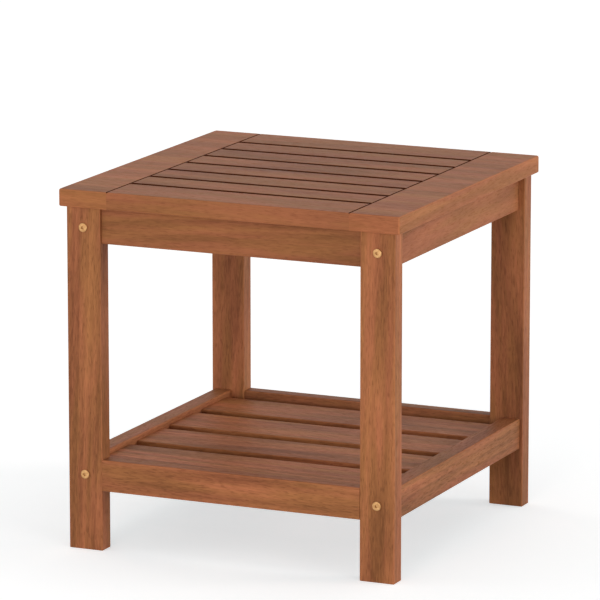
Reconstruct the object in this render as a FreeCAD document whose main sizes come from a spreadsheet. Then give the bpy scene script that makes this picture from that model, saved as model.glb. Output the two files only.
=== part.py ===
# End table with a slatted top and a slatted shelf, built from separate boards and their fasteners.
# Frame: +X to the right, +Y to the back, +Z up, origin on the floor under the middle of the table.
import FreeCAD, Part
import os
import re

# Driving sizes in millimetres. Each becomes one cell of the spreadsheet, under its own name.
SIZES = {
    # Whole table
    "table_width": 457,
    "table_depth": 457,
    "table_height": 457,
    # Top: two end boards, a front and a rear board between them, and slats inside that border
    "top_thickness": 22,
    "top_border_width": 66,
    "top_gap": 6,
    "top_rim_radius": 2.5,
    "top_corner_inner_radius": 1,
    "top_underside_radius": 2,
    "top_slat_radius": 2,
    "top_seam_depth": 1.25,
    "top_tenon_length": 12,
    "top_tenon_thickness": 8,
    "top_tenon_shoulder": 10,
    # Legs, with the wide face to the front
    "leg_width": 46,
    "leg_depth": 23,
    "leg_inset_side": 8,
    "leg_inset_front": 6.5,
    "leg_edge_radius": 1.5,
    "leg_foot_radius": 1,
    # Aprons under the top, set back from the outer faces of the legs
    "apron_height": 45.5,
    "front_apron_recess": 5,
    "side_apron_recess": 8,
    "apron_edge_radius": 2,
    # Rails round the shelf
    "rail_height": 40,
    "rail_clearance": 76.5,
    "front_rail_thickness": 20,
    "side_rail_recess": 4,
    "rail_edge_radius": 2,
    # Tenons of the front and rear aprons and rails, in mortises that stop short of the leg bolts
    "tenon_thickness": 9,
    "tenon_shoulder": 7,
    "mortise_wall": 2.75,
    "joint_clearance": 0.1,
    "glue_room": 1,
    # Shelf slats and the cleats that carry them
    "shelf_gap": 19.2,
    "shelf_slat_thickness": 14,
    "shelf_slat_drop": 6.5,
    "shelf_slat_end_gap": 0.5,
    "shelf_slat_radius": 2,
    "cleat_width": 18,
    "cleat_height": 16,
    "cleat_end_gap": 6,
    "cleat_edge_radius": 1.5,
    # Bolts through the legs, with a low domed head and a hexagon socket
    "bolt_diameter": 6,
    "bolt_past_nut": 7,
    "bolt_end_room": 4,
    "bolt_clearance": 0.25,
    "bolt_rise": 20,
    "bolt_wall": 5,
    "bolt_head_diameter": 11.5,
    "bolt_head_rim": 1.2,
    "bolt_dome_height": 0.8,
    "bolt_dome_diameter": 9.5,
    "socket_width": 4,
    "socket_depth": 2,
    # Barrel nuts across the ends of the side aprons and side rails
    "nut_diameter": 10,
    "nut_length": 14,
    "nut_setback": 30,
    "nut_slot_width": 1.6,
    "nut_slot_depth": 1.5,
    "thread_clearance": 0.05,
    # Dowels above the bolts
    "dowel_diameter": 8,
    "dowel_in_leg": 12,
    "dowel_in_member": 18,
    "dowel_chamfer": 1,
    # Wood screws: the grip is the wood under the head, the bite is what goes into the next piece
    "screw_diameter": 4,
    "screw_tip_length": 4,
    "screw_tip_diameter": 1,
    "screw_head_diameter": 8,
    "screw_head_height": 2.5,
    "screw_head_room": 0.5,
    "screw_slot_width": 1.2,
    "screw_slot_depth": 1.2,
    "top_screw_grip": 18,
    "top_screw_bite": 12,
    "top_screw_spacing": 200,
    "cleat_screw_grip": 14,
    "cleat_screw_bite": 16,
    "slat_screw_grip": 10,
    "slat_screw_bite": 10,
    "pilot_end_room": 0.5,
    # How far every cut runs past the face it starts from
    "cut_overrun": 1,
}

# Counts, shares and signs
TOP_SLAT_COUNT = 6
SHELF_SLAT_COUNT = 4
SQUARE_SIDES = 4
HEXAGON_SIDES = 6
HEXAGON_CORNER_SHARE = 0.57735
SIDES = {"left": -1, "right": 1}
ENDS = {"front": -1, "rear": 1}

# Sizes and places that follow from the driving sizes, from the table's middle or from the floor
PLACES = {
    "top_underside": "table_height - top_thickness",
    "top_middle": "table_height - top_thickness / 2",
    "top_span": "table_width - 2 * top_border_width",
    "top_bay": "table_depth - 2 * top_border_width",
    "top_slat_width": f"(top_bay - {TOP_SLAT_COUNT + 1} * top_gap) / {TOP_SLAT_COUNT}",
    "top_pitch": "top_slat_width + top_gap",
    "top_border_y": "(table_depth - top_border_width) / 2",
    "top_corner_radius": "top_corner_inner_radius + top_rim_radius",
    "leg_x": "table_width / 2 - leg_inset_side - leg_width / 2",
    "leg_y": "table_depth / 2 - leg_inset_front - leg_depth / 2",
    "leg_outer_y": "leg_y + leg_depth / 2",
    "leg_inner_x": "leg_x - leg_width / 2",
    "leg_inner_y": "leg_y - leg_depth / 2",
    "apron_middle": "top_underside - apron_height / 2",
    "apron_bottom": "top_underside - apron_height",
    "front_apron_thickness": "leg_depth - front_apron_recess",
    "front_apron_y": "leg_inner_y + front_apron_thickness / 2",
    "front_rail_y": "leg_outer_y - front_rail_thickness / 2",
    "rail_middle": "rail_clearance + rail_height / 2",
    "side_inner_x": "leg_x - bolt_wall",
    "side_apron_thickness": "leg_width / 2 + bolt_wall - side_apron_recess",
    "side_apron_x": "side_inner_x + side_apron_thickness / 2",
    "side_rail_thickness": "leg_width / 2 + bolt_wall - side_rail_recess",
    "side_rail_x": "side_inner_x + side_rail_thickness / 2",
    "bolt_hole": "bolt_diameter + 2 * bolt_clearance",
    "bolt_length": "leg_depth + nut_setback + bolt_past_nut",
    "nut_y": "leg_inner_y - nut_setback",
    "mortise_depth": "leg_width / 2 - bolt_hole / 2 - mortise_wall",
    "tenon_length": "mortise_depth - glue_room",
    "dowel_hole": "dowel_diameter + 2 * joint_clearance",
    "shelf_bay_half": "leg_outer_y - front_rail_thickness",
    "shelf_slat_width": f"(2 * shelf_bay_half - {SHELF_SLAT_COUNT + 1} * shelf_gap) / {SHELF_SLAT_COUNT}",
    "shelf_pitch": "shelf_slat_width + shelf_gap",
    "shelf_slat_top": "rail_clearance + rail_height - shelf_slat_drop",
    "shelf_slat_bottom": "shelf_slat_top - shelf_slat_thickness",
    "cleat_x": "side_inner_x - cleat_width / 2",
    "cleat_middle": "shelf_slat_bottom - cleat_height / 2",
    "cleat_half_length": "nut_y - nut_diameter / 2 - cleat_end_gap",
    "screw_hole": "screw_diameter + 2 * joint_clearance",
    "screw_head_hole": "screw_head_diameter + 2 * screw_head_room",
    "pilot_hole": "screw_diameter + 2 * thread_clearance",
}

# The side members that are bolted between the legs: middle in X, underside and height of each
SIDE_MEMBERS = {
    "apron": ("side_apron_x", "apron_bottom", "apron_height"),
    "shelf_rail": ("side_rail_x", "rail_clearance", "rail_height"),
}
# The cross members that are tenoned into the legs: middle in Y, middle in Z and height of each
CROSS_MEMBERS = {
    "apron": ("front_apron_y", "apron_middle", "apron_height"),
    "shelf_rail": ("front_rail_y", "rail_middle", "rail_height"),
}
LONG_EDGES_ALONG_X = [(0, -1, -1), (0, 1, -1), (0, -1, 1), (0, 1, 1)]
LONG_EDGES_ALONG_Y = [(-1, 0, -1), (1, 0, -1), (-1, 0, 1), (1, 0, 1)]
UPRIGHT_EDGES = [(-1, -1, 0), (-1, 1, 0), (1, -1, 0), (1, 1, 0)]
LOWER_RIM = [(x, y, -1) for x in (-1, 0, 1) for y in (-1, 0, 1) if (x, y) != (0, 0)]

doc = FreeCAD.newDocument("end_table")
sheet = doc.addObject("Spreadsheet::Sheet", "sizes")
for row, (size_name, size_value) in enumerate(SIZES.items(), 1):
    sheet.set(f"A{row}", size_name)
    sheet.set(f"B{row}", str(size_value))
    sheet.setAlias(f"B{row}", size_name)
doc.recompute()

pieces = []


def formula(text):
    """Writes each name in a formula as its spreadsheet cell, and a derived place as what it follows from."""

    def cell(match):
        word = match.group()
        if word in PLACES:
            return "(" + formula(PLACES[word]) + ")"
        return "sizes." + word

    return re.sub(r"[a-z][a-z_]*", cell, text)


def bind(feature, **formulas):
    """Ties properties of a feature to the spreadsheet."""
    for prop, text in formulas.items():
        feature.setExpression(prop, formula(text))


def place(feature, spot, turn=FreeCAD.Rotation()):
    """Puts a feature at a spot given by three formulas, with its own turn."""
    feature.Placement = FreeCAD.Placement(FreeCAD.Vector(), turn)
    for axis, text in zip("xyz", spot):
        feature.setExpression("Placement.Base." + axis, formula(text))


def pointing(direction):
    """The turn that takes a feature's own Z axis to a direction."""
    return FreeCAD.Rotation(FreeCAD.Vector(0, 0, 1), FreeCAD.Vector(*direction))


def block(body, kind, name, size, centre):
    """Adds to or cuts from a body a block of a given size about a given centre."""
    feature = body.newObject(f"PartDesign::{kind}Box", name)
    bind(feature, Length=size[0], Width=size[1], Height=size[2])
    place(feature, [f"({middle}) - ({extent}) / 2" for middle, extent in zip(centre, size)])


def board(label, size, centre):
    """Starts a board as a plain block and lists it as a piece of the table."""
    body = doc.addObject("PartDesign::Body", label)
    block(body, "Additive", label + "_block", size, centre)
    pieces.append(body)
    return body


def ease(body, radius, edges):
    """Rounds edges of a board. Each is named by the sides it lies on: (0, -1, 1) is the front top edge."""
    doc.recompute()
    solid = body.Tip
    box = solid.Shape.BoundBox
    chosen = []
    for number, edge in enumerate(solid.Shape.Edges, 1):
        middle = edge.valueAt((edge.FirstParameter + edge.LastParameter) / 2) - box.Center
        extents = (box.XLength, box.YLength, box.ZLength)
        sides = tuple(round(2 * offset / extent) for offset, extent in zip(middle, extents))
        if sides in edges:
            chosen.append(f"Edge{number}")
    fillet = body.newObject("PartDesign::Fillet", body.Label + "_eased")
    fillet.Base = (solid, chosen)
    bind(fillet, Radius=radius)


def bore(body, name, mouth, direction, diameter, depth):
    """Drills a round hole from its mouth along a direction."""
    feature = body.newObject("PartDesign::SubtractiveCylinder", name)
    bind(feature, Radius=f"({diameter}) / 2", Height=f"({depth}) + cut_overrun")
    start = [f"({spot}) - {step} * cut_overrun" for spot, step in zip(mouth, direction)]
    place(feature, start, pointing(direction))


def pilot(body, mouth, direction, bite):
    """Drills the blind hole that a wood screw bites into."""
    bore(body, body.Label + "_pilot", mouth, direction, "pilot_hole", f"{bite} + pilot_end_room")


def screw_hole(body, mouth, direction, thickness, grip):
    """Drills a hole right through for a screw, with a wide mouth that leaves the grip under the head."""
    bore(body, body.Label + "_screw_head", mouth, direction, "screw_head_hole", f"{thickness} - {grip}")
    bore(body, body.Label + "_screw", mouth, direction, "screw_hole", f"{thickness} + cut_overrun")


# Top: boards and slats that run across, tenoned into the end boards
def top_slat_y(number):
    """The middle of a top slat, counted from the front."""
    return f"top_pitch / 2 * {2 * number - TOP_SLAT_COUNT - 1}"


def top_cross_rows():
    """The middle and width of every row of the top between the end boards."""
    rows = [(f"{end} * top_border_y", "top_border_width") for end in ENDS.values()]
    rows += [(top_slat_y(number), "top_slat_width") for number in range(1, TOP_SLAT_COUNT + 1)]
    return rows


def top_cross_board(label, y, width):
    return board(label, ("top_span", width, "top_thickness"), ("0", y, "top_middle"))


def seam_groove(body, side, y, length):
    """Cuts a board's half of the V groove along a seam in the top, with a square bar set on its corner."""
    groove = body.newObject("PartDesign::SubtractivePrism", body.Label + "_seam")
    groove.Polygon = SQUARE_SIDES
    bind(groove, Circumradius="top_seam_depth", Height=f"{length} + 2 * cut_overrun")
    start = (f"{side} * top_span / 2", f"{y} - {length} / 2 - cut_overrun", "table_height")
    place(groove, start, pointing((0, 1, 0)))


def top_board_ends(body, y, width):
    """Cuts the grooves at the ends of a top board, then adds both tenons as one block through its middle."""
    for side in SIDES.values():
        seam_groove(body, side, y, width)
    size = ("top_span + 2 * top_tenon_length", f"{width} - 2 * top_tenon_shoulder", "top_tenon_thickness")
    block(body, "Additive", body.Label + "_tenons", size, ("0", y, "top_middle"))


def build_top_border_board(name, end):
    y = f"{end} * top_border_y"
    body = top_cross_board(f"top_board_{name}", y, "top_border_width")
    ease(body, "top_slat_radius", [(0, -end, 1), (0, -end, -1)])
    ease(body, "top_rim_radius", [(0, end, 1)])
    ease(body, "top_underside_radius", [(0, end, -1)])
    top_board_ends(body, y, "top_border_width")
    for side in SIDES.values():
        mouth = (f"{side} * top_screw_spacing / 2", f"{end} * front_apron_y", "top_underside")
        pilot(body, mouth, (0, 0, 1), "top_screw_bite")


def build_top_slat(number):
    y = top_slat_y(number)
    body = top_cross_board(f"top_slat_{number}", y, "top_slat_width")
    ease(body, "top_slat_radius", LONG_EDGES_ALONG_X)
    top_board_ends(body, y, "top_slat_width")


def build_top_end_board(name, side):
    size = ("top_border_width", "table_depth", "top_thickness")
    x = f"{side} * (table_width - top_border_width) / 2"
    body = board(f"top_end_board_{name}", size, (x, "0", "top_middle"))
    ease(body, "top_corner_radius", [(side, -1, 0), (side, 1, 0)])
    for level, radius in ((1, "top_rim_radius"), (-1, "top_underside_radius")):
        rim = [(side, -1, level), (side, 0, level), (side, 1, level), (0, -1, level), (0, 1, level)]
        ease(body, radius, rim)
    seam_groove(body, side, "0", "table_depth")
    for y, width in top_cross_rows():
        mortise = (
            "top_tenon_length + glue_room + cut_overrun",
            f"{width} - 2 * top_tenon_shoulder + 2 * joint_clearance",
            "top_tenon_thickness + 2 * joint_clearance",
        )
        mortise_x = f"{side} * (top_span + top_tenon_length + glue_room - cut_overrun) / 2"
        block(body, "Subtractive", body.Label + "_mortise", mortise, (mortise_x, y, "top_middle"))
    for end in ENDS.values():
        mouth = (f"{side} * side_apron_x", f"{end} * top_screw_spacing / 2", "top_underside")
        pilot(body, mouth, (0, 0, 1), "top_screw_bite")


# Legs
def bolt_level(member):
    """The height of the bolt line of a side member."""
    return f"{SIDE_MEMBERS[member][1]} + bolt_rise"


def dowel_level(member):
    """The height of a side member's dowels, midway between its bolts and its top."""
    x, underside, height = SIDE_MEMBERS[member]
    return f"{underside} + (bolt_rise + {height}) / 2"


def build_leg(end_name, end, side_name, side):
    size = ("leg_width", "leg_depth", "top_underside")
    centre = (f"{side} * leg_x", f"{end} * leg_y", "top_underside / 2")
    body = board(f"leg_{end_name}_{side_name}", size, centre)
    ease(body, "leg_edge_radius", UPRIGHT_EDGES)
    ease(body, "leg_foot_radius", LOWER_RIM)
    for y, middle, height in CROSS_MEMBERS.values():
        mortise = (
            "mortise_depth + cut_overrun",
            "tenon_thickness + 2 * joint_clearance",
            f"{height} - 2 * tenon_shoulder + 2 * joint_clearance",
        )
        x = f"{side} * (leg_inner_x + (mortise_depth - cut_overrun) / 2)"
        block(body, "Subtractive", body.Label + "_mortise", mortise, (x, f"{end} * {y}", middle))
    for member, (member_x, underside, height) in SIDE_MEMBERS.items():
        bolt_mouth = (f"{side} * leg_x", f"{end} * leg_outer_y", bolt_level(member))
        bore(body, body.Label + "_bolt", bolt_mouth, (0, -end, 0), "bolt_hole", "leg_depth + cut_overrun")
        dowel_mouth = (f"{side} * {member_x}", f"{end} * leg_inner_y", dowel_level(member))
        bore(body, body.Label + "_dowel", dowel_mouth, (0, end, 0), "dowel_hole", "dowel_in_leg + glue_room")


# Front and rear aprons and rails, tenoned into the legs
def cross_member(member, name, end, thickness):
    y, middle, height = CROSS_MEMBERS[member]
    size = ("2 * leg_inner_x", thickness, height)
    return board(f"{member}_{name}", size, ("0", f"{end} * {y}", middle))


def cross_tenons(body, member, end):
    """Adds the tenons at both ends of a cross member, as one block through its middle."""
    y, middle, height = CROSS_MEMBERS[member]
    size = ("2 * (leg_inner_x + tenon_length)", "tenon_thickness", f"{height} - 2 * tenon_shoulder")
    block(body, "Additive", body.Label + "_tenons", size, ("0", f"{end} * {y}", middle))


def build_cross_apron(name, end):
    body = cross_member("apron", name, end, "front_apron_thickness")
    ease(body, "apron_edge_radius", [(0, -1, -1), (0, 1, -1)])
    cross_tenons(body, "apron", end)
    for side in SIDES.values():
        mouth = (f"{side} * top_screw_spacing / 2", f"{end} * front_apron_y", "apron_bottom")
        screw_hole(body, mouth, (0, 0, 1), "apron_height", "top_screw_grip")


def build_cross_rail(name, end):
    body = cross_member("shelf_rail", name, end, "front_rail_thickness")
    ease(body, "rail_edge_radius", LONG_EDGES_ALONG_X)
    cross_tenons(body, "shelf_rail", end)


# Side aprons and rails, bolted and dowelled between the front and rear legs
def side_member(member, name, side, thickness):
    x, underside, height = SIDE_MEMBERS[member]
    size = (thickness, "2 * leg_inner_y", height)
    return board(f"{member}_{name}", size, (f"{side} * {x}", "0", f"{underside} + {height} / 2"))


def side_member_holes(body, member, side):
    """Drills the bolt, barrel nut and dowel holes at both ends of a side member."""
    level = bolt_level(member)
    for end in ENDS.values():
        bolt_mouth = (f"{side} * leg_x", f"{end} * leg_inner_y", level)
        bolt_depth = "bolt_length - leg_depth + bolt_end_room"
        bore(body, body.Label + "_bolt", bolt_mouth, (0, -end, 0), "bolt_hole", bolt_depth)
        nut_mouth = (f"{side} * side_inner_x", f"{end} * nut_y", level)
        nut_hole = "nut_diameter + 2 * joint_clearance"
        bore(body, body.Label + "_nut", nut_mouth, (side, 0, 0), nut_hole, "nut_length + joint_clearance")
        dowel_mouth = (f"{side} * {SIDE_MEMBERS[member][0]}", f"{end} * leg_inner_y", dowel_level(member))
        dowel_depth = "dowel_in_member + glue_room"
        bore(body, body.Label + "_dowel", dowel_mouth, (0, -end, 0), "dowel_hole", dowel_depth)


def build_side_apron(name, side):
    body = side_member("apron", name, side, "side_apron_thickness")
    ease(body, "apron_edge_radius", [(-1, 0, -1), (1, 0, -1)])
    side_member_holes(body, "apron", side)
    for end in ENDS.values():
        mouth = (f"{side} * side_apron_x", f"{end} * top_screw_spacing / 2", "apron_bottom")
        screw_hole(body, mouth, (0, 0, 1), "apron_height", "top_screw_grip")


def build_side_rail(name, side):
    body = side_member("shelf_rail", name, side, "side_rail_thickness")
    ease(body, "rail_edge_radius", LONG_EDGES_ALONG_Y)
    side_member_holes(body, "shelf_rail", side)
    for y in cleat_screw_rows():
        pilot(body, (f"{side} * side_inner_x", y, "cleat_middle"), (side, 0, 0), "cleat_screw_bite")


# Shelf: cleats screwed to the side rails, and slats screwed to the cleats
def shelf_slat_y(number):
    """The middle of a shelf slat, counted from the front."""
    return f"shelf_pitch / 2 * {2 * number - SHELF_SLAT_COUNT - 1}"


def cleat_screw_rows():
    """The middles of the gaps between the shelf slats, where the cleats are screwed to the side rails."""
    return [f"shelf_pitch / 2 * {2 * number - SHELF_SLAT_COUNT}" for number in range(1, SHELF_SLAT_COUNT)]


def build_shelf_cleat(name, side):
    size = ("cleat_width", "2 * cleat_half_length", "cleat_height")
    body = board(f"shelf_cleat_{name}", size, (f"{side} * cleat_x", "0", "cleat_middle"))
    ease(body, "cleat_edge_radius", [(-side, 0, -1)])
    for number in range(1, SHELF_SLAT_COUNT + 1):
        mouth = (f"{side} * cleat_x", shelf_slat_y(number), "shelf_slat_bottom - cleat_height")
        screw_hole(body, mouth, (0, 0, 1), "cleat_height", "slat_screw_grip")
    for y in cleat_screw_rows():
        mouth = (f"{side} * (side_inner_x - cleat_width)", y, "cleat_middle")
        screw_hole(body, mouth, (side, 0, 0), "cleat_width", "cleat_screw_grip")


def build_shelf_slat(number):
    y = shelf_slat_y(number)
    size = ("2 * (side_inner_x - shelf_slat_end_gap)", "shelf_slat_width", "shelf_slat_thickness")
    body = board(f"shelf_slat_{number}", size, ("0", y, "shelf_slat_top - shelf_slat_thickness / 2"))
    ease(body, "shelf_slat_radius", LONG_EDGES_ALONG_X)
    for side in SIDES.values():
        pilot(body, (f"{side} * cleat_x", y, "shelf_slat_bottom"), (0, 0, 1), "slat_screw_bite")


# Fasteners: one model of each kind with its seat at its own origin, and a linked copy at each place
def cylinder(body, name, diameter, start, length, turn=FreeCAD.Rotation()):
    feature = body.newObject("PartDesign::AdditiveCylinder", name)
    bind(feature, Radius=f"{diameter} / 2", Height=length)
    place(feature, ("0", "0", start), turn)
    return feature


def cone(body, name, lower_diameter, upper_diameter, start, length):
    feature = body.newObject("PartDesign::AdditiveCone", name)
    bind(feature, Radius1=f"{lower_diameter} / 2", Radius2=f"{upper_diameter} / 2", Height=length)
    place(feature, ("0", "0", start))


def bolt_model():
    """A bolt along +Z, with the underside of its head at the origin."""
    body = doc.addObject("PartDesign::Body", "bolt_model")
    head_top = "-1 * (bolt_head_rim + bolt_dome_height)"
    cylinder(body, "bolt_shank", "bolt_diameter", "0", "bolt_length")
    cylinder(body, "bolt_rim", "bolt_head_diameter", "-1 * bolt_head_rim", "bolt_head_rim")
    cone(body, "bolt_dome", "bolt_dome_diameter", "bolt_head_diameter", head_top, "bolt_dome_height")
    socket = body.newObject("PartDesign::SubtractivePrism", "bolt_socket")
    socket.Polygon = HEXAGON_SIDES
    bind(socket, Circumradius=f"socket_width * {HEXAGON_CORNER_SHARE}", Height="socket_depth + cut_overrun")
    place(socket, ("0", "0", f"{head_top} - cut_overrun"))
    return body


def nut_model():
    """A barrel nut along +X, with its slotted end at the origin."""
    body = doc.addObject("PartDesign::Body", "nut_model")
    cylinder(body, "nut_barrel", "nut_diameter", "0", "nut_length", pointing((1, 0, 0)))
    thread_mouth = ("bolt_wall", "-1 * nut_diameter / 2", "0")
    thread_hole = "bolt_diameter + 2 * thread_clearance"
    bore(body, "nut_thread", thread_mouth, (0, 1, 0), thread_hole, "nut_diameter + cut_overrun")
    slot = ("nut_slot_depth + cut_overrun", "nut_diameter + 2 * cut_overrun", "nut_slot_width")
    block(body, "Subtractive", "nut_slot", slot, ("(nut_slot_depth - cut_overrun) / 2", "0", "0"))
    return body


def dowel_model():
    """A dowel along +Z, with chamfered ends, starting at the origin."""
    body = doc.addObject("PartDesign::Body", "dowel_model")
    rod = cylinder(body, "dowel_rod", "dowel_diameter", "0", "dowel_in_leg + dowel_in_member")
    doc.recompute()
    rims = [f"Edge{number}" for number, edge in enumerate(rod.Shape.Edges, 1) if edge.isClosed()]
    chamfer = body.newObject("PartDesign::Chamfer", "dowel_ends")
    chamfer.Base = (rod, rims)
    bind(chamfer, Size="dowel_chamfer")
    return body


def screw_model(name, length):
    """A wood screw along +Z, with the underside of its head at the origin."""
    body = doc.addObject("PartDesign::Body", f"{name}_model")
    shank = f"{length} - screw_tip_length"
    cylinder(body, f"{name}_shank", "screw_diameter", "0", shank)
    cone(body, f"{name}_tip", "screw_diameter", "screw_tip_diameter", shank, "screw_tip_length")
    cylinder(body, f"{name}_head", "screw_head_diameter", "-1 * screw_head_height", "screw_head_height")
    slot = ("screw_head_diameter + 2 * cut_overrun", "screw_slot_width", "screw_slot_depth + cut_overrun")
    slot_middle = "(screw_slot_depth - cut_overrun) / 2 - screw_head_height"
    block(body, "Subtractive", f"{name}_slot", slot, ("0", "0", slot_middle))
    return body


def copies(label, model, spots):
    """One node of separate solids: a linked copy of the model at each spot, with its own turn."""
    links = []
    for number, (spot, turn) in enumerate(spots, 1):
        link = doc.addObject("App::Link", f"{label}_{number}")
        link.LinkedObject = model
        place(link, spot, turn)
        links.append(link)
    group = doc.addObject("Part::Compound", label)
    group.Links = links
    pieces.append(group)


def build_frame_fasteners():
    bolts, nuts, dowels = [], [], []
    for member, (member_x, underside, height) in SIDE_MEMBERS.items():
        for side in SIDES.values():
            outward = FreeCAD.Rotation(FreeCAD.Vector(1, 0, 0), FreeCAD.Vector(side, 0, 0))
            for end in ENDS.values():
                inward = pointing((0, -end, 0))
                level = bolt_level(member)
                bolts.append(((f"{side} * leg_x", f"{end} * leg_outer_y", level), inward))
                nuts.append(((f"{side} * side_inner_x", f"{end} * nut_y", level), outward))
                dowel_y = f"{end} * (leg_inner_y + dowel_in_leg)"
                dowels.append(((f"{side} * {member_x}", dowel_y, dowel_level(member)), inward))
    copies("leg_bolts", bolt_model(), bolts)
    copies("barrel_nuts", nut_model(), nuts)
    copies("frame_dowels", dowel_model(), dowels)


def build_top_screws():
    seat = "top_underside - top_screw_grip"
    spots = []
    for side in SIDES.values():
        for end in ENDS.values():
            spots.append((f"{side} * top_screw_spacing / 2", f"{end} * front_apron_y", seat))
            spots.append((f"{side} * side_apron_x", f"{end} * top_screw_spacing / 2", seat))
    model = screw_model("top_screw", "(top_screw_grip + top_screw_bite)")
    copies("top_screws", model, [(spot, pointing((0, 0, 1))) for spot in spots])


def build_shelf_screws():
    slat_screws, cleat_screws = [], []
    for side in SIDES.values():
        for number in range(1, SHELF_SLAT_COUNT + 1):
            seat = (f"{side} * cleat_x", shelf_slat_y(number), "shelf_slat_bottom - slat_screw_grip")
            slat_screws.append((seat, pointing((0, 0, 1))))
        for y in cleat_screw_rows():
            seat = (f"{side} * (side_inner_x - cleat_screw_grip)", y, "cleat_middle")
            cleat_screws.append((seat, pointing((side, 0, 0))))
    slat_screw = screw_model("slat_screw", "(slat_screw_grip + slat_screw_bite)")
    cleat_screw = screw_model("cleat_screw", "(cleat_screw_grip + cleat_screw_bite)")
    copies("shelf_slat_screws", slat_screw, slat_screws)
    copies("shelf_cleat_screws", cleat_screw, cleat_screws)


# Build every piece
for side_name, side_sign in SIDES.items():
    build_top_end_board(side_name, side_sign)
    build_side_apron(side_name, side_sign)
    build_side_rail(side_name, side_sign)
    build_shelf_cleat(side_name, side_sign)
for end_name, end_sign in ENDS.items():
    build_top_border_board(end_name, end_sign)
    build_cross_apron(end_name, end_sign)
    build_cross_rail(end_name, end_sign)
    for side_name, side_sign in SIDES.items():
        build_leg(end_name, end_sign, side_name, side_sign)
for slat_number in range(1, TOP_SLAT_COUNT + 1):
    build_top_slat(slat_number)
for slat_number in range(1, SHELF_SLAT_COUNT + 1):
    build_shelf_slat(slat_number)
build_frame_fasteners()
build_top_screws()
build_shelf_screws()
doc.recompute()

# Check the whole document before anything is written
for item in doc.Objects:
    if "Invalid" in item.State or "Error" in item.State:
        raise RuntimeError(f"{item.Label} failed to build")
for piece in pieces:
    if piece.Shape.isNull() or not piece.Shape.isValid():
        raise RuntimeError(f"{piece.Label} has no valid shape")

# Write each piece to its own file
os.makedirs("parts", exist_ok=True)
for piece in pieces:
    piece.Shape.exportStep(f"parts/{piece.Label}.step")
    print(f"{piece.Label}: {len(piece.Shape.Solids)} solid(s), {piece.Shape.Volume:.0f} cubic mm")
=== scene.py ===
# %% [markdown]
# # A slatted end table with a low shelf
# This lesson dresses a small hardwood end table. The table itself is a set of boards, legs, bolts and
# screws that were drawn in CAD at their real size. Here each board gets its own piece of timber, the
# metal gets its finish, and the whole stands on a pale studio floor, as a catalogue would show it.

# %% Load the frame
import math
import random

import bpy
from mathutils import Color, Euler, Matrix, Vector


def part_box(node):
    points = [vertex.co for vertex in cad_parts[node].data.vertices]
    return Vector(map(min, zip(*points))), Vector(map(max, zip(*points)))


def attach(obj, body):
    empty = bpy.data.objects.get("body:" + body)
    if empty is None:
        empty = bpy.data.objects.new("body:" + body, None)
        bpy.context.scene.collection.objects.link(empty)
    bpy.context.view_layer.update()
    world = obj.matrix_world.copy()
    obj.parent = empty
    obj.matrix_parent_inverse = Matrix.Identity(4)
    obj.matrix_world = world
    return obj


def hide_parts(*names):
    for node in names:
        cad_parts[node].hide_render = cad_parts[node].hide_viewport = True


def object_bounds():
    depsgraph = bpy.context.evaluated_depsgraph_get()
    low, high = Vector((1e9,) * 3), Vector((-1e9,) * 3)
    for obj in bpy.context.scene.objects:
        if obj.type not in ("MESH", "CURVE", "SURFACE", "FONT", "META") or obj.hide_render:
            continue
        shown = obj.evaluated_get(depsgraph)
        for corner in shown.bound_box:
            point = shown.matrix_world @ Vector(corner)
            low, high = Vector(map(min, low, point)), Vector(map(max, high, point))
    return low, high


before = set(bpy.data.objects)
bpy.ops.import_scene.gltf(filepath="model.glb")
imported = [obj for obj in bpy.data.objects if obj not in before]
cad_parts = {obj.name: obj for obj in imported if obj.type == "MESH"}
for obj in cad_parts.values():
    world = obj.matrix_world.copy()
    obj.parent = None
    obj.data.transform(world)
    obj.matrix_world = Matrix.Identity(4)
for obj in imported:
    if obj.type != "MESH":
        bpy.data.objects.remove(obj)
cad_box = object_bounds()
print("boards and fasteners in the frame:", len(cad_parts))

# %% [markdown]
# ## The camera
# The table is seen from a little above and from its front right corner, with a long lens, so that the
# edges that go back hardly draw together. A long lens could be faked with an orthographic camera, but a
# real lens keeps the slight taper that the eye expects. The camera is placed by turning it first and then
# stepping back along its own line of sight, with the middle of the table a little low in the picture.

# %% Camera
# The lens is in millimetres, the distance and the place of the table's middle in metres
CAMERA_LENS = 299.0
CAMERA_YAW = math.radians(24.15)
CAMERA_PITCH = math.radians(11.91)
CAMERA_DISTANCE = 6.2986
MIDDLE_RIGHT = 0.0039
MIDDLE_UP = -0.0625

scene = bpy.context.scene
table_low, table_high = Vector(cad_box[0]), Vector(cad_box[1])
table_middle = (table_low + table_high) / 2

camera = bpy.data.objects.new("camera", bpy.data.cameras.new("camera"))
scene.collection.objects.link(camera)
camera.data.lens = CAMERA_LENS
camera.rotation_euler = Euler((math.pi / 2 - CAMERA_PITCH, 0, CAMERA_YAW))
camera_turn = camera.rotation_euler.to_matrix()
camera.location = table_middle - camera_turn @ Vector((MIDDLE_RIGHT, MIDDLE_UP, -CAMERA_DISTANCE))
scene.camera = camera
print("camera stands at", tuple(round(value, 3) for value in camera.location))

# %% [markdown]
# ## Small helpers for nodes
# A material is a tree of nodes. Adding each node by hand in code soon gets long, so these helpers add a
# node, set its options and fill its inputs in one go: an input takes either a plain value or a link.

# %% Node helpers
def put(tree, kind, inputs=None, **options):
    """Adds a node to a tree, with its options, then a value or a link on each input that is named."""
    node = tree.nodes.new(kind)
    for name, value in options.items():
        setattr(node, name, value)
    for name, value in (inputs or {}).items():
        if isinstance(value, bpy.types.NodeSocket):
            tree.links.new(value, node.inputs[name])
        else:
            node.inputs[name].default_value = value
    return node


def maths(tree, operation, *values):
    """A Math node of one operation on values or links."""
    return put(tree, "ShaderNodeMath", dict(enumerate(values)), operation=operation).outputs[0]


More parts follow.
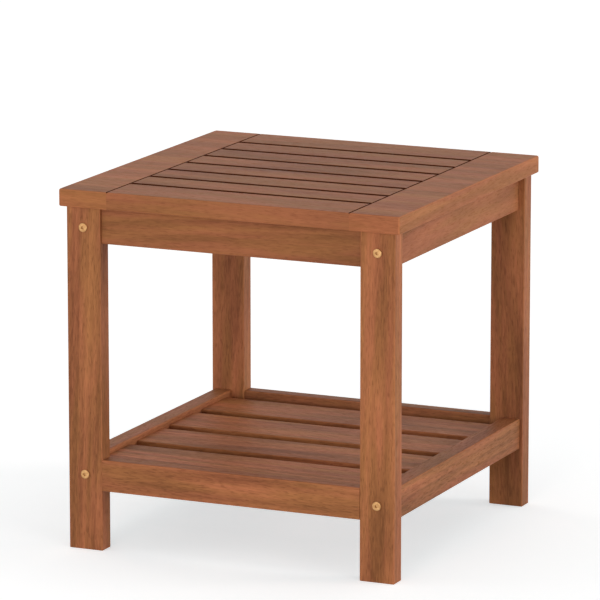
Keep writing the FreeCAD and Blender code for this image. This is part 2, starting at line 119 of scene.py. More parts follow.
def largest(tree, first, *others):
    """The largest of some values."""
    for other in others:
        first = maths(tree, "MAXIMUM", first, other)
    return first


print("node helpers are ready")

# %% [markdown]
# ## The floor
# The table stands on a wide white floor. The floor must look white without throwing more light on the
# wood, so only the rays that the camera sends, and those that mirror or pass through a surface, find it
# glowing; every other ray finds a plain pale floor. A brighter lamp could also bleach the floor, but it
# would bleach the wood with it. Under the glow a part of the floor still takes the lamps' light, and that
# part holds the table's shadow. The red wood warms the light in the shadow, so the glow is a little cool,
# and the paint is as much warmer, so that the open floor stays white.

# %% Floor
FLOOR_SIZE = 60.0
FLOOR_GLOW = (0.412, 0.500, 0.525, 1.0)
FLOOR_SHADE = (1.0, 0.87, 0.83, 1.0)
FLOOR_ALBEDO = (0.8, 0.8, 0.8, 1.0)


def seen_directly(tree):
    """1 for rays from the camera and for mirrored or passing rays, 0 for rays that light a surface."""
    path = put(tree, "ShaderNodeLightPath").outputs
    return largest(tree, path["Is Camera Ray"], path["Is Glossy Ray"], path["Is Transmission Ray"])


bpy.ops.object.select_all(action="DESELECT")
bpy.ops.mesh.primitive_plane_add(size=FLOOR_SIZE)
floor = bpy.context.object
floor.name = "studio_floor"

floor_finish = bpy.data.materials.new("studio_floor")
floor_finish.use_nodes = True
tree = floor_finish.node_tree
tree.nodes.clear()
glow = put(tree, "ShaderNodeEmission", {"Color": FLOOR_GLOW, "Strength": 1.0})
shade = put(tree, "ShaderNodeBsdfDiffuse", {"Color": FLOOR_SHADE})
plain = put(tree, "ShaderNodeBsdfDiffuse", {"Color": FLOOR_ALBEDO})
shown = put(tree, "ShaderNodeAddShader", {0: glow.outputs[0], 1: shade.outputs[0]})
choice = {0: seen_directly(tree), 1: plain.outputs[0], 2: shown.outputs[0]}
chosen = put(tree, "ShaderNodeMixShader", choice)
put(tree, "ShaderNodeOutputMaterial", {"Surface": chosen.outputs[0]})
floor.data.materials.append(floor_finish)
print("floor is", FLOOR_SIZE, "metres wide")

# %% [markdown]
# ## The light
# A catalogue studio lights furniture with broad soft panels that stand low all round it, so upright faces
# take more light than the top and no shadow has an edge. Each panel here is a sun lamp with a wide disc,
# which lights every piece alike wherever it stands. The room behind is white, but like the floor it shows
# itself only to the camera and in reflections, and gives the wood no more than a soft fill.

# %% Lamps and room
WHITE = (1.0, 1.0, 1.0, 1.0)
LAMP_SPREAD = math.radians(24)
# Turn from the front towards the right, height above the floor, both in degrees, and power
LAMPS = {
    "front_panel": (0, 4, 1.54),
    "front_right_panel": (60, 5, 0.50),
    "front_left_panel": (-60, 5, 0.27),
    "right_panel": (110, 8, 1.32),
    "left_panel": (-110, 8, 0.50),
}
ROOM_FILL = 0.50

for lamp_name, (turn, height, power) in LAMPS.items():
    lamp = bpy.data.objects.new(lamp_name, bpy.data.lights.new(lamp_name, "SUN"))
    scene.collection.objects.link(lamp)
    lamp.data.energy = power
    lamp.data.angle = LAMP_SPREAD
    lamp.rotation_euler = Euler((math.radians(90 - height), 0, math.radians(turn)))

room = bpy.data.worlds.new("studio_room")
room.use_nodes = True
scene.world = room
tree = room.node_tree
tree.nodes.clear()
fill = put(tree, "ShaderNodeBackground", {"Color": WHITE, "Strength": ROOM_FILL})
white = put(tree, "ShaderNodeBackground", {"Color": WHITE, "Strength": 1.0})
choice = {0: seen_directly(tree), 1: fill.outputs[0], 2: white.outputs[0]}
chosen = put(tree, "ShaderNodeMixShader", choice)
put(tree, "ShaderNodeOutputWorld", {"Surface": chosen.outputs[0]})
scene.view_settings.view_transform = "Standard"
print("lamps:", len(LAMPS))

# %% [markdown]
# ## Helpers for patterns and colours
# Wood and metal get their looks from noise: stretched along the grain it makes fibres, and cut off at a
# level it makes spots. These helpers stretch noise, turn it into soft masks, add masks up and mix colours
# by them. What many materials share is built once, as a node group: a tree that works as one node with
# named sockets.

# %% Pattern helpers
# A Mix node has sockets for every kind of data, so those for colours are found by their place
COLOUR_A, COLOUR_B, MIXED_COLOUR = 6, 7, 2


def vector_maths(tree, operation, *values, output="Vector"):
    """A Vector Math node of one operation. Lengths and dot products come from its Value output."""
    return put(tree, "ShaderNodeVectorMath", dict(enumerate(values)), operation=operation).outputs[output]


def weighted_sum(tree, start, *parts):
    """A start value and some masks, each times its own weight, added up."""
    total = start
    for mask, weight in parts:
        total = maths(tree, "MULTIPLY_ADD", mask, weight, total)
    return total


def fade(tree, value, start, end, low=0.0, high=1.0):
    """A soft step: low up to the start, high from the end on."""
    steps = {"Value": value, "From Min": start, "From Max": end, "To Min": low, "To Max": high}
    return put(tree, "ShaderNodeMapRange", steps, interpolation_type="SMOOTHSTEP").outputs["Result"]


def noise(tree, vector, spots, detail):
    """Noise with its own number of spots per metre along each axis."""
    stretched = vector_maths(tree, "MULTIPLY", vector, spots)
    return put(tree, "ShaderNodeTexNoise", {"Vector": stretched, "Scale": 1.0, "Detail": detail})


def pattern(tree, vector, spots, detail, start, end):
    """Noise as a mask: 0 where it is below the start, 1 where it is above the end."""
    return fade(tree, noise(tree, vector, spots, detail).outputs["Fac"], start, end)


def mix(tree, factor, first, second, blend="MIX"):
    """A colour between two colours, or the first one blended with the second in another way."""
    inputs = {0: factor, COLOUR_A: first, COLOUR_B: second}
    return put(tree, "ShaderNodeMix", inputs, data_type="RGBA", blend_type=blend).outputs[MIXED_COLOUR]


def paint(red, green, blue):
    """A colour from its 0 to 255 screen values, as the linear values that nodes use."""
    screen = Color((red / 255, green / 255, blue / 255))
    return (*screen.from_srgb_to_scene_linear(), 1.0)


def new_group(name, inputs, outputs):
    """An empty shader node group with named sockets. Gives the tree, its input node and its output node."""
    tree = bpy.data.node_groups.new(name, "ShaderNodeTree")
    for direction, sockets in (("INPUT", inputs), ("OUTPUT", outputs)):
        for socket_name, kind in sockets.items():
            tree.interface.new_socket(socket_name, in_out=direction, socket_type="NodeSocket" + kind)
    return tree, tree.nodes.new("NodeGroupInput"), tree.nodes.new("NodeGroupOutput")


print("pattern helpers are ready")

# %% [markdown]
# ## Timber
# The boards are a stained reddish hardwood: fine straight fibres, darker streaks, soft growth rings that
# show as long lines or arches, and short dark pores. A picture of wood would stretch at the ends and
# repeat on every board. This timber is solid instead: the rings lie round a centre line outside the
# board, so a cut across shows end grain and a cut along shows arches, as a saw would find them. It is one
# node group that every board uses, each from its own place in the log.

# %% Timber group: growth rings
# Spots per metre along and across the grain
GRAIN_WANDER_SPOTS = (2.0, 7.0, 7.0)
RING_RIPPLE_SPOTS = (4.0, 40.0, 40.0)
# How far the grain wanders, in metres, and how far the rings ripple, in rings
GRAIN_WANDER = (0.0, 0.012, 0.012)
RING_RIPPLE = 0.6
# Share of a year in which the wood grows darker, and strength of the faintest ring
DARKENING_SHARE = 0.75
FAINTEST_RING = 0.3
NOISE_MIDDLE = (0.5, 0.5, 0.5)
ACROSS_GRAIN = (0.0, 1.0, 1.0)

# The inputs for gaps and edges bring painted shade into gaps and seams and a painted highlight onto rounded
# edges
timber, wood_in, wood_out = new_group(
    "timber",
    {
        "Place": "Vector", "End Grain": "Float", "Edge": "Float", "Gap Shade": "Float", "Ring Width": "Float",
        "Pale": "Color", "Deep": "Color", "Figure": "Float", "Contrast": "Float",
    },
    {"Colour": "Color", "Roughness": "Float", "Height": "Float"},
)
place = wood_in.outputs["Place"]
wander = noise(timber, place, GRAIN_WANDER_SPOTS, detail=1.0).outputs["Color"]
wander = vector_maths(timber, "SUBTRACT", wander, NOISE_MIDDLE)
wander = vector_maths(timber, "MULTIPLY", wander, GRAIN_WANDER)
bent = vector_maths(timber, "ADD", place, wander)

across = vector_maths(timber, "MULTIPLY", bent, ACROSS_GRAIN)
radius = vector_maths(timber, "LENGTH", across, output="Value")
age = maths(timber, "DIVIDE", radius, wood_in.outputs["Ring Width"])
ripple = noise(timber, place, RING_RIPPLE_SPOTS, detail=2.0).outputs["Fac"]
year = maths(timber, "MULTIPLY_ADD", ripple, RING_RIPPLE, age)

season = maths(timber, "FRACT", year)
darkening = fade(timber, season, 0.0, DARKENING_SHARE)
paling = fade(timber, season, DARKENING_SHARE, 1.0, 1.0, 0.0)
ring = maths(timber, "MULTIPLY", darkening, paling)
year_count = maths(timber, "FLOOR", year)
luck = put(timber, "ShaderNodeTexWhiteNoise", {"W": year_count}, noise_dimensions="1D").outputs["Value"]
strength = maths(timber, "MULTIPLY_ADD", luck, 1 - FAINTEST_RING, FAINTEST_RING)
ring = maths(timber, "MULTIPLY", ring, strength)
print("growth rings:", len(timber.nodes), "nodes")

# %% Timber group: colour
# Spots per metre along and across the grain, detail, and the noise values between which a pattern fades in
STREAKS = ((3.5, 60.0, 60.0), 3.0, 0.3, 0.75)
CLOUDS = ((3.5, 24.0, 24.0), 1.0, 0.35, 0.65)
GOLDEN_PATCHES = ((6.0, 60.0, 60.0), 3.0, 0.35, 0.65)
PORES = ((110.0, 900.0, 900.0), 0.0, 0.58, 0.73)
FLECKS = ((80.0, 500.0, 500.0), 1.0, 0.66, 0.75)
FIBRE_SPOTS = (55.0, 420.0, 420.0)
FIBRE_FADE = (0.3, 0.7)
# How far each pattern takes the colour from pale to deep, and how far they do so together on the whole
STREAK_DEPTH, CLOUD_DEPTH, FIBRE_DEPTH = 0.30, 0.38, 0.25
GRAIN_MEAN = 0.44
GOLDEN_TINT = (0.88, 1.0, 0.82, 1.0)
PORE_BROWN = paint(78, 42, 24)
PORE_DARK = 0.28
# Painted shade: the dark brown that the walls of gaps and seams are mixed towards
GAP_SHADE_BROWN = paint(62, 23, 5)
# Painted highlight: how much paler the rounded edges are made, for the light they catch
EDGE_HIGHLIGHT = 0.4
END_FADE = (0.55, 0.9)
END_DARK = 0.2

pale, contrast, gap_shade = (wood_in.outputs[name] for name in ("Pale", "Contrast", "Gap Shade"))
streak = pattern(timber, bent, *STREAKS)
cloud = pattern(timber, bent, *CLOUDS)
golden = pattern(timber, bent, *GOLDEN_PATCHES)
pore = pattern(timber, bent, *PORES)
fleck = pattern(timber, bent, *FLECKS)
fibre = noise(timber, bent, FIBRE_SPOTS, detail=2.0).outputs["Fac"]
fibre_mask = fade(timber, fibre, *FIBRE_FADE)

shares = ((streak, STREAK_DEPTH), (cloud, CLOUD_DEPTH), (fibre_mask, FIBRE_DEPTH))
grain = weighted_sum(timber, -GRAIN_MEAN, *shares)
depth = weighted_sum(timber, GRAIN_MEAN, (ring, wood_in.outputs["Figure"]), (grain, contrast))
colour = mix(timber, depth, pale, wood_in.outputs["Deep"])
colour = mix(timber, golden, colour, GOLDEN_TINT, "MULTIPLY")
# Painted highlight: the rounded edges are made paler, for the light they catch between two faces
wear_and_highlight = maths(timber, "MULTIPLY", wood_in.outputs["Edge"], EDGE_HIGHLIGHT)
colour = mix(timber, wear_and_highlight, colour, pale)
spots = maths(timber, "MULTIPLY", largest(timber, pore, fleck), PORE_DARK)
spots = maths(timber, "MULTIPLY", spots, contrast)
colour = mix(timber, spots, colour, PORE_BROWN)
end_mask = fade(timber, wood_in.outputs["End Grain"], *END_FADE)
colour = mix(timber, maths(timber, "MULTIPLY", end_mask, END_DARK), colour, PORE_BROWN)
# Painted shade: the walls of gaps and seams are mixed towards a dark brown
colour = mix(timber, gap_shade, colour, GAP_SHADE_BROWN)
timber.links.new(colour, wood_out.inputs["Colour"])
print("growth rings and colour:", len(timber.nodes), "nodes")

# %% Timber group: sheen and relief
OILED_ROUGHNESS = 0.46
FIBRE_ROUGH, PORE_ROUGH, END_ROUGH, GAP_ROUGH = 0.16, 0.12, 0.12, 0.45
PORE_SINK, FLECK_SINK = 0.7, 0.5

shares = ((fibre, FIBRE_ROUGH), (pore, PORE_ROUGH), (end_mask, END_ROUGH), (gap_shade, GAP_ROUGH))
timber.links.new(weighted_sum(timber, OILED_ROUGHNESS, *shares), wood_out.inputs["Roughness"])
relief = weighted_sum(timber, fibre, (pore, -PORE_SINK), (fleck, -FLECK_SINK))
timber.links.new(relief, wood_out.inputs["Height"])
print("whole timber group:", len(timber.nodes), "nodes")

# %% [markdown]
# ## One piece of timber for each board
# A joiner chooses how each board is sawn and turned. Here the grain runs from side to side in the whole
# top and in the cross members, front to back in the side members and upright in the legs. The heart of
# the tree lies some way behind one face and leans a little: that face shows arches, and the faces beside
# it show long straight lines. The end boards of the top were cut far from the heart, so their growth
# rings lie flat, and their outer edges show long lines instead of end grain.

# %% Grain of each board
FRONT, REAR = (0, -1, 0), (0, 1, 0)
LEFT, RIGHT = (-1, 0, 0), (1, 0, 0)
UP, DOWN = (0, 0, 1), (0, 0, -1)
# Turns that lay a board's grain along the log
GRAIN_TURNS = {
    "X": Euler((0, 0, 0)),
    "Y": Euler((0, 0, -math.pi / 2)),
    "Z": Euler((0, math.pi / 2, 0)),
}
# Start of a board's name: the way its grain runs, and the way of the face that has the heart behind it
BOARDS = {
    "top_end_board": ("X", UP),
    "top_board": ("X", UP),
    "top_slat": ("X", UP),
    "leg_front_left": ("Z", RIGHT),
    "leg_front_right": ("Z", FRONT),
    "leg_rear": ("Z", REAR),
    "apron_front": ("X", FRONT),
    "apron_rear": ("X", REAR),
    "apron_left": ("Y", LEFT),
    "apron_right": ("Y", RIGHT),
    "shelf_rail_front": ("X", FRONT),
    "shelf_rail_rear": ("X", REAR),
    "shelf_rail_left": ("Y", UP),
    "shelf_rail_right": ("Y", UP),
    "shelf_cleat": ("Y", DOWN),
    "shelf_slat": ("X", UP),
}
# Boards whose outer edges have grain of their own, told as above
EDGES = {"top_end_board": ("Y", UP)}


def starting(node, table):
    """The entry of a table whose key the node's name starts with, or None."""
    return next((value for start, value in table.items() if node.startswith(start)), None)


boards = [node for node in sorted(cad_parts) if starting(node, BOARDS)]
print("boards to cut:", len(boards))

# %% Place of each board in the log
LOG_AXIS = Vector((1, 0, 0))
LOG_LENGTH = 3.0
HEART_NEAR, HEART_FAR = 0.05, 0.13
HEART_LEAN = math.radians(2.5)
HEART_SWING = math.radians(35)
RING_NARROW, RING_WIDE = 0.007, 0.011
# Boards with flat rings: the width of a ring, and how many rings and metres more they lie from the heart
FLAT_BOARDS = ("top_end_board",)
FLAT_RING = 0.018
FLAT_RING_COUNT = 700
FLAT_RING_PLACE = 0.0096
FLAT_HEART = FLAT_RING_COUNT * FLAT_RING + FLAT_RING_PLACE


def place_in_log(tree, node, grain, face, log):
    """Carries a board to its own spot in the log, whose heart lies along X."""
    low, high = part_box(node)
    turn = GRAIN_TURNS[grain].to_matrix()
    along = LOG_AXIS * log.uniform(0, LOG_LENGTH)
    if node.startswith(FLAT_BOARDS):
        spot = turn @ Vector(face) * FLAT_HEART + along
    else:
        swing = Matrix.Rotation(log.uniform(-HEART_SWING, HEART_SWING), 3, "X")
        lean = Euler((0, log.uniform(-HEART_LEAN, HEART_LEAN), log.uniform(-HEART_LEAN, HEART_LEAN)))
        spot = swing @ turn @ Vector(face) * log.uniform(HEART_NEAR, HEART_FAR) + along
        turn = lean.to_matrix() @ turn
    shift = spot - turn @ ((Vector(low) + Vector(high)) / 2)
    spots = put(tree, "ShaderNodeTexCoord").outputs["Object"]
    move = {"Vector": spots, "Rotation": turn.to_euler(), "Location": shift}
    return put(tree, "ShaderNodeMapping", move).outputs["Vector"]


print("growth rings are", RING_NARROW, "to", RING_WIDE, "metres wide")

# %% [markdown]
# ## Painted shade in gaps and seams
# The walls of the gaps between the boards get painted shade: their colour is mixed towards a dark brown,
# for the shade that falls there. In the top they read as dark lines, between the shelf slats as brown
# bands. A face belongs to a gap if it looks across it, so the mask comes from the way the surface looks.
# Where the boards butt against the end boards only the small groove at the upper edge gets this painted
# shade: the same joint in the front edge of the top hardly shows.

# %% Painted shade masks for gaps and seams
# Start of a board's name: how dark the painted shade on its long walls is, and the ways they look
GAP_SHADE_WALLS = {
    "top_slat": (0.96, (FRONT, REAR)),
    "top_board_front": (0.96, (REAR,)),
    "top_board_rear": (0.96, (FRONT,)),
    "shelf_slat": (0.36, (FRONT, REAR)),
}
# Start of a board's name: the ways its ends look into the seams of the top, where they get painted shade
SEAM_SHADE_WALLS = {
    "top_slat": (LEFT, RIGHT),
    "top_board": (LEFT, RIGHT),
    "top_end_board_left": (RIGHT,),
    "top_end_board_right": (LEFT,),
}
SEAM_SHADE = 0.96
# How far a surface has turned into a gap or seam where the painted shade starts, and where it is full
GAP_SHADE_FADE = (0.1, 0.6)
SEAM_SHADE_FADE = (0.2, 0.7)
# Depths under the tabletop between which the painted shade of a seam grows
SEAM_SHADE_START, SEAM_SHADE_END = 0.0040, 0.0018


def looking(tree, ways):
    """How far a surface looks in one of several ways: 1 straight that way, 0 or less where it doesn't."""
    normal = put(tree, "ShaderNodeTexCoord").outputs["Normal"]
    return largest(tree, *(vector_maths(tree, "DOT_PRODUCT", normal, way, output="Value") for way in ways))


def gap_shade_mask(tree, node):
    """How much painted shade a board gets on the walls of its gaps and seams, or None where it has neither.
    """
    masks = []
    if starting(node, GAP_SHADE_WALLS):
        dark, ways = starting(node, GAP_SHADE_WALLS)
        masks.append(fade(tree, looking(tree, ways), *GAP_SHADE_FADE, 0.0, dark))
    if starting(node, SEAM_SHADE_WALLS):
        spots = put(tree, "ShaderNodeTexCoord").outputs["Object"]
        level = put(tree, "ShaderNodeSeparateXYZ", {"Vector": spots}).outputs["Z"]
        near_top = fade(tree, level, table_high.z - SEAM_SHADE_START, table_high.z - SEAM_SHADE_END)
        seam_shade = fade(tree, looking(tree, starting(node, SEAM_SHADE_WALLS)), *SEAM_SHADE_FADE, 0.0, SEAM_SHADE)
        masks.append(maths(tree, "MULTIPLY", seam_shade, near_top))
    return largest(tree, *masks) if masks else None


print("boards with gap walls:", sum(1 for node in boards if starting(node, GAP_SHADE_WALLS)))

# %% [markdown]
# ## The finish of the boards
# The wood is stained and oiled to a low sheen. Every board gets its own tone, a little lighter or darker
# than its neighbour, as boards from one stack do, and its own strength of figure; a few tones are also
# lowered as painted shade. The rounded edges get a painted highlight: their colour is made a little paler,
# for the light they catch between two faces. A surface that looks along none of the three main ways is
# such an edge. The pores are pressed into the surface by a bump, because they are far too fine to model.

# %% Tones, figure and cuts
PALE_WOOD = (191, 117, 77)
DEEP_WOOD = (126, 72, 44)
TONE_RANGE = 0.02
FIGURE_RANGE = (0.2, 0.35)
# Start of a board's name: its tone beside the common one. The lower tones of the top's boards and slats
# and of the rear shelf rail are partly painted shade, for the shade and dark reflections of things standing
# on the table, which are not modelled.
TONES_AND_SHADE = {
    "apron_front": 0.99,
    "leg_front_right": 1.02,
    "leg_rear": 0.98,
    "shelf_rail_rear": 0.95,
    "shelf_slat": 1.11,
    "top_end_board": 1.07,
    "top_slat": 0.95,
    "top_board": 0.95,
}
# The same for the strength of its growth rings, and for that of its streaks, fibres and pores
FIGURES = {"top_board": 0.1, "top_end_board": 0.3}
CONTRASTS = {"top_": 0.6, "apron": 0.65}
# The same for the cut that was chosen from the log, where the first one didn't suit
CUTS = {
    "apron_front": 5,
    "apron_right": 5,
    "leg_front_left": 9,
    "leg_front_right": 5,
    "shelf_rail_front": 4,
    "top_end_board_right": 8,
}
print("boards with a tone of their own:", sum(1 for node in boards if starting(node, TONES_AND_SHADE)))

# %% Finish
SPECULAR = 0.14
BUMP_DEPTH = 0.0003
BUMP_STRENGTH = 0.4
# Largest part of a surface's direction at which an edge gets the full painted highlight, and at which a face
# is flat
EDGE_HIGHLIGHT_FADE = (0.8, 0.97)
# How far the outer edge of a board has turned where its own grain starts, and where it is alone
EDGE_GRAIN_FADE = (0.6, 0.8)
# Places of a Mix node's sockets for vectors
VECTOR_A, VECTOR_B, MIXED_VECTOR = 4, 5, 1


def edge_highlight_mask(tree):
    """1 on the rounded edges of a board, where the painted highlight goes, 0 on its flat faces."""
    normal = put(tree, "ShaderNodeTexCoord").outputs["Normal"]
    direction = vector_maths(tree, "ABSOLUTE", normal)
    most = largest(tree, *put(tree, "ShaderNodeSeparateXYZ", {"Vector": direction}).outputs)
    return fade(tree, most, *EDGE_HIGHLIGHT_FADE, 1.0, 0.0)


def wear_group(tree, group, values, bump_depth, bump_strength):
    """Puts a group's colour, roughness and relief on the shader of a new material, and gives the shader."""
    skin = put(tree, "ShaderNodeGroup", values, node_tree=group).outputs
    shader = tree.nodes["Principled BSDF"]
    tree.links.new(skin["Colour"], shader.inputs["Base Color"])
    tree.links.new(skin["Roughness"], shader.inputs["Roughness"])
    bump = {"Height": skin["Height"], "Distance": bump_depth, "Strength": bump_strength}
    tree.links.new(put(tree, "ShaderNodeBump", bump).outputs["Normal"], shader.inputs["Normal"])
    return shader


def timber_finish(node, grain, face):
    """A material for one board: its place in the log, its tone and a satin oil finish."""
    finish = bpy.data.materials.new(f"timber_{node}")
    finish.use_nodes = True
    tree = finish.node_tree
    log = random.Random(f"{node} {starting(node, CUTS)}")
    place = place_in_log(tree, node, grain, face, log)
    # A board's tone, which for some boards also carries painted shade
    tone_and_shade = (starting(node, TONES_AND_SHADE) or 1.0) + log.uniform(-TONE_RANGE, TONE_RANGE)
    values = {
        "Pale": paint(*(tone_and_shade * value for value in PALE_WOOD)),
        "Deep": paint(*(tone_and_shade * value for value in DEEP_WOOD)),
        "Figure": starting(node, FIGURES) or log.uniform(*FIGURE_RANGE),
        "Contrast": starting(node, CONTRASTS) or 1.0,
        # A painted highlight on the rounded edges
        "Edge": edge_highlight_mask(tree),
        "Ring Width": FLAT_RING if node.startswith(FLAT_BOARDS) else log.uniform(RING_NARROW, RING_WIDE),
    }
    if starting(node, EDGES):
        edge_place = place_in_log(tree, node, *starting(node, EDGES), log)
        share = fade(tree, looking(tree, [LEFT, RIGHT]), *EDGE_GRAIN_FADE)
        places = {0: share, VECTOR_A: place, VECTOR_B: edge_place}
        place = put(tree, "ShaderNodeMix", places, data_type="VECTOR").outputs[MIXED_VECTOR]
    else:
        end = GRAIN_TURNS[grain].to_matrix().transposed() @ LOG_AXIS
        values["End Grain"] = looking(tree, [end, -end])
    values["Place"] = place
    # Painted shade on the walls of the board's gaps and seams
    mask = gap_shade_mask(tree, node)
    if mask is not None:
        values["Gap Shade"] = mask
    shader = wear_group(tree, timber, values, BUMP_DEPTH, BUMP_STRENGTH)
    shader.inputs["Specular IOR Level"].default_value = SPECULAR
    return finish


def dress(node, finish):
    """Gives every material slot of a CAD node one finish."""
    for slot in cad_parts[node].material_slots:
        slot.material = finish


for node in boards:
    dress(node, timber_finish(node, *starting(node, BOARDS)))
dress("frame_dowels", timber_finish("frame_dowels", "Y", UP))
print("boards with their own timber:", len(boards))

# %% [markdown]
# ## Metal
# The bolts are brass plated and the screws and nuts zinc plated. Plating is never quite even: it has
# faint clouds, fine scratches and a duller skin where fingers touched it. One group makes that wear for
# both metals.

# %% Plating group
# Spots per metre along each axis, detail, and the noise values between which a pattern fades in
DULL_CLOUDS = ((260.0, 260.0, 260.0), 3.0, 0.35, 0.7)
SCRATCHES = ((500.0, 4000.0, 900.0), 2.0, 0.55, 0.75)
CLOUD_WEAR, SCRATCH_WEAR = 0.65, 0.35
WORN_ROUGH = 0.18

plating, metal_in, metal_out = new_group(
    "plating",
    {"Place": "Vector", "Bright": "Color", "Dull": "Color", "Roughness": "Float"},
    {"Colour": "Color", "Roughness": "Float", "Height": "Float"},
)
cloud = pattern(plating, metal_in.outputs["Place"], *DULL_CLOUDS)
scratch = pattern(plating, metal_in.outputs["Place"], *SCRATCHES)
wear_and_highlight = weighted_sum(plating, 0.0, (cloud, CLOUD_WEAR), (scratch, SCRATCH_WEAR))
skin = mix(plating, wear_and_highlight, metal_in.outputs["Bright"], metal_in.outputs["Dull"])
plating.links.new(skin, metal_out.inputs["Colour"])
rough = weighted_sum(plating, metal_in.outputs["Roughness"], (wear_and_highlight, WORN_ROUGH))
plating.links.new(rough, metal_out.inputs["Roughness"])
plating.links.new(maths(plating, "SUBTRACT", 1.0, scratch), metal_out.inputs["Height"])
print("plating group:", len(plating.nodes), "nodes")

# %% Metals
SCRATCH_DEPTH = 0.00003
SCRATCH_STRENGTH = 0.4
BRASS_BRIGHT, BRASS_DULL, BRASS_ROUGH = (191, 149, 101), (170, 126, 80), 0.48
ZINC_BRIGHT, ZINC_DULL, ZINC_ROUGH = (196, 198, 200), (150, 150, 148), 0.26


def plated(name, bright, dull, rough):
    """A plated metal, from its bright and its dull colour and the roughness of its bright parts."""
    finish = bpy.data.materials.new(name)
    finish.use_nodes = True
    tree = finish.node_tree
    spots = put(tree, "ShaderNodeTexCoord").outputs["Object"]
    values = {"Place": spots, "Bright": paint(*bright), "Dull": paint(*dull), "Roughness": rough}
    shader = wear_group(tree, plating, values, SCRATCH_DEPTH, SCRATCH_STRENGTH)
    shader.inputs["Metallic"].default_value = 1.0
    return finish


brass = plated("bolt_brass", BRASS_BRIGHT, BRASS_DULL, BRASS_ROUGH)
zinc = plated("plated_steel", ZINC_BRIGHT, ZINC_DULL, ZINC_ROUGH)
for node in ("barrel_nuts", "top_screws", "shelf_slat_screws", "shelf_cleat_screws"):
    dress(node, zinc)
print("metals:", brass.name, zinc.name)

# %% [markdown]
# ## Bolts
# Each leg is held to the side boards by two bolts with a low domed head and a hexagon socket for a key. A
# lathe would turn such a head, and a punch would press the socket. So a round blank is stepped inwards
# and upwards into a dome, a hexagon bar is cut out of it, and the shank is drawn out of its underside.

# %% Helpers for turned pieces
ROUND_SIDES = 48
DOME_STEPS = 6
# A face is an end if its normal lies this close to the axis, and level with another within this many metres
END_NORMAL = 0.99
SAME_LEVEL = 1e-7


def only(obj):
    """Selects one object alone and makes it the active one."""
    bpy.ops.object.select_all(action="DESELECT")
    obj.select_set(True)
    bpy.context.view_layer.objects.active = obj


def bar(name, sides, radius, length, middle):
    """A straight bar of some sides along Z, with its place in its mesh."""
    bpy.ops.object.select_all(action="DESELECT")
    bpy.ops.mesh.primitive_cylinder_add(
        vertices=sides, radius=radius, depth=length, location=(0, 0, middle)
    )
    piece = bpy.context.object
    piece.name = name
    bpy.ops.object.transform_apply(location=True, rotation=True, scale=True)
    return piece


def pick_end(obj, up):
    """In edit mode, selects the flat end faces that look up, or down, along Z and lie furthest out."""
    bpy.ops.object.mode_set(mode="OBJECT")
    mesh = obj.data
    ends = [face for face in mesh.polygons if face.normal.z * up > END_NORMAL]
    furthest = max(face.center.z * up for face in ends)
    for part in (mesh.vertices, mesh.edges, mesh.polygons):
        for item in part:
            item.select = False
    for face in ends:
        face.select = abs(face.center.z * up - furthest) < SAME_LEVEL
    bpy.ops.object.mode_set(mode="EDIT")
    bpy.ops.mesh.select_mode(type="FACE")


def draw_out(obj, up, rise, from_radius, to_radius):
    """Extrudes the end of a turned piece and narrows or widens it on the way."""
    pick_end(obj, up)
    bpy.ops.mesh.extrude_region_move(TRANSFORM_OT_translate={"value": (0, 0, up * rise)})
    share = to_radius / from_radius
    bpy.ops.transform.resize(value=(share, share, 1), center_override=(0, 0, 0))
    bpy.ops.object.mode_set(mode="OBJECT")


def step_down(obj, from_radius, to_radius):
    """Insets the underside of a head to the size of its shank."""
    pick_end(obj, -1)
    bpy.ops.mesh.inset(thickness=from_radius - to_radius)
    bpy.ops.object.mode_set(mode="OBJECT")


def dome(obj, start_radius, end_radius, rise):
    """Raises a domed head in steps along a quarter round."""
    radius, height = start_radius, 0.0
    for step in range(1, DOME_STEPS + 1):
        angle = math.pi / 2 * step / DOME_STEPS
        next_radius = end_radius + (start_radius - end_radius) * math.cos(angle)
        next_height = rise * math.sin(angle)
        draw_out(obj, 1, next_height - height, radius, next_radius)
        radius, height = next_radius, next_height


def cut_away(obj, cutter):
    """Cuts one object out of another and deletes the cutter."""
    only(obj)
    cut = obj.modifiers.new("cut", "BOOLEAN")
    cut.operation = "DIFFERENCE"
    cut.solver = "EXACT"
    cut.object = cutter
    bpy.ops.object.modifier_apply(modifier=cut.name)
    bpy.data.objects.remove(cutter)


print("helpers for turned pieces are ready")

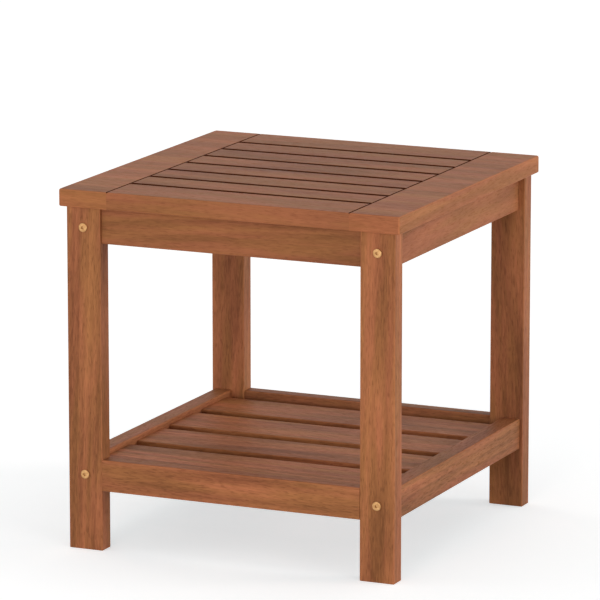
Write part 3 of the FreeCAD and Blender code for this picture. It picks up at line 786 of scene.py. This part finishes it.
# %% Model one bolt
BOLT_HEAD_RADIUS = 0.00575
BOLT_RIM = 0.0012
BOLT_DOME = 0.0008
BOLT_DOME_RADIUS = 0.00475
BOLT_RADIUS = 0.003
BOLT_LENGTH = 0.060
BOLT_CHAMFER = 0.0008
SOCKET_SIDES = 6
SOCKET_RADIUS = 0.0023
SOCKET_DEPTH = 0.002

bolt = bar("bolt_pattern", ROUND_SIDES, BOLT_HEAD_RADIUS, BOLT_RIM, BOLT_RIM / 2)
dome(bolt, BOLT_HEAD_RADIUS, BOLT_DOME_RADIUS, BOLT_DOME)
step_down(bolt, BOLT_HEAD_RADIUS, BOLT_RADIUS)
draw_out(bolt, -1, BOLT_LENGTH - BOLT_CHAMFER, BOLT_RADIUS, BOLT_RADIUS)
draw_out(bolt, -1, BOLT_CHAMFER, BOLT_RADIUS, BOLT_RADIUS - BOLT_CHAMFER)
key = bar("key_pattern", SOCKET_SIDES, SOCKET_RADIUS, 2 * SOCKET_DEPTH, BOLT_RIM + BOLT_DOME)
cut_away(bolt, key)
print("bolt pattern has", len(bolt.data.polygons), "faces")

# %% Copy the bolt to its eight places
BOLT_RISE = 0.020
SMOOTH_ANGLE = math.radians(35)


def place_copy(pattern_piece, name, matrix, finish, replaced):
    """Copies a piece with a mesh of its own, puts its place into that mesh and lets it ride on the table."""
    piece = bpy.data.objects.new(name, pattern_piece.data.copy())
    scene.collection.objects.link(piece)
    piece.data.transform(matrix)
    piece.data.materials.clear()
    piece.data.materials.append(finish)
    only(piece)
    bpy.ops.object.shade_smooth_by_angle(angle=SMOOTH_ANGLE)
    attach(piece, "root")
    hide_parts(replaced)


bolt_count = 0
for leg in [node for node in boards if node.startswith("leg_")]:
    low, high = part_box(leg)
    outward = -1 if "front" in leg else 1
    face_y = low[1] if outward < 0 else high[1]
    for member in ("apron_left", "shelf_rail_left"):
        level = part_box(member)[0][2] + BOLT_RISE
        spot = Matrix.Translation(((low[0] + high[0]) / 2, face_y, level))
        turn = Matrix.Rotation(-outward * math.pi / 2, 4, "X")
        bolt_count += 1
        place_copy(bolt, f"leg_bolt_{bolt_count}", spot @ turn, brass, "leg_bolts")
bpy.data.objects.remove(bolt)
print("bolts placed:", bolt_count)
